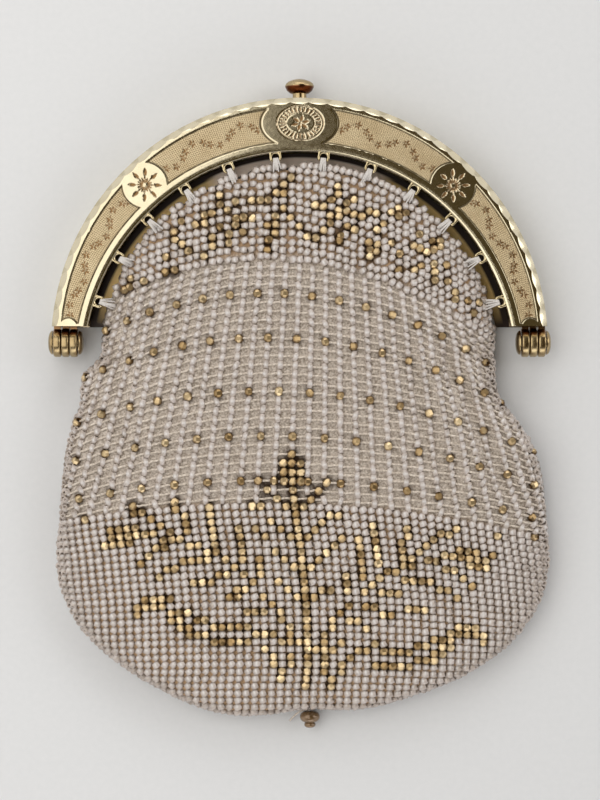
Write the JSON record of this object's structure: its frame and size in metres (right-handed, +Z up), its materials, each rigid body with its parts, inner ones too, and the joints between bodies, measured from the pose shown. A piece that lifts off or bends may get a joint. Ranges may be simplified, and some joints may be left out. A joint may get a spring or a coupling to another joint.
{
  "type": "beaded coin purse",
  "caption": "Small half-round brass-framed purse with a knitted bag of seed beads, a push-button clasp and a drop bead, lying flat.",
  "frame": {"origin": "under the middle of the purse, on the surface that it lies on", "axes": "+Z up from the surface through the front of the purse, +Y towards the push button, +X to the right"},
  "size_m": [0.0916, 0.1186, 0.0111],
  "materials": {
    "gilt_brass": "gilt, engraved and lightly worn",
    "beading": "knitted thread covered in pearly glass seed beads",
    "bronze_bead": "opaque bronze lustre"
  },
  "bodies": {
    "purse": {"front_frame": "gilt_brass", "back_frame": "gilt_brass", "hinge_pin_left": "gilt_brass", "hinge_pin_right": "gilt_brass", "clasp_catch": "gilt_brass", "beaded_bag": "beading", "drop_bead": "bronze_bead"},
    "button": {"clasp_button": "gilt_brass"}
  },
  "joints": [
    {"name": "button_press", "type": "slide", "parent": "purse", "child": "button", "axis": [0, -1, 0], "range_m": [0, 0.001], "stiffness_N_per_m": 1000}
  ]
}
